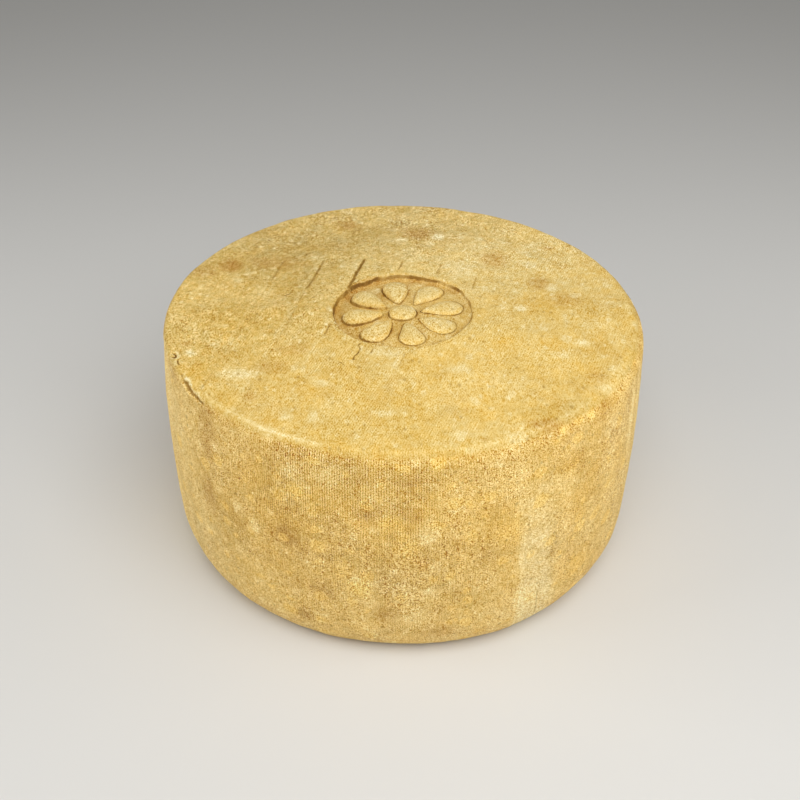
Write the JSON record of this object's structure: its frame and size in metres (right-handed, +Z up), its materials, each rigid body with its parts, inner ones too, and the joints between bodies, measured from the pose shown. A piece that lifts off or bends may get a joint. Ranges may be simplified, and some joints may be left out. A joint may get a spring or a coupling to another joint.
{
  "type": "cheese wheel",
  "caption": "Tall round wheel of hard, cloth-ripened cheese with a barrel side, rounded foot, slat marks and a rosette stamp pressed into the flat top.",
  "frame": {"origin": "middle of the flat base, on the surface that the wheel stands on", "axes": "+Z up along the wheel's own axis, -Y to the front, +X to the right seen from the front; the chipped rim is at the left"},
  "size_m": [0.3204, 0.3195, 0.161],
  "materials": {
    "rind": "dry matt natural rind, golden ochre with paler bloom, brown specks and a fine cloth imprint"
  },
  "bodies": {
    "root": {"wheel": "rind"}
  },
  "joints": []
}
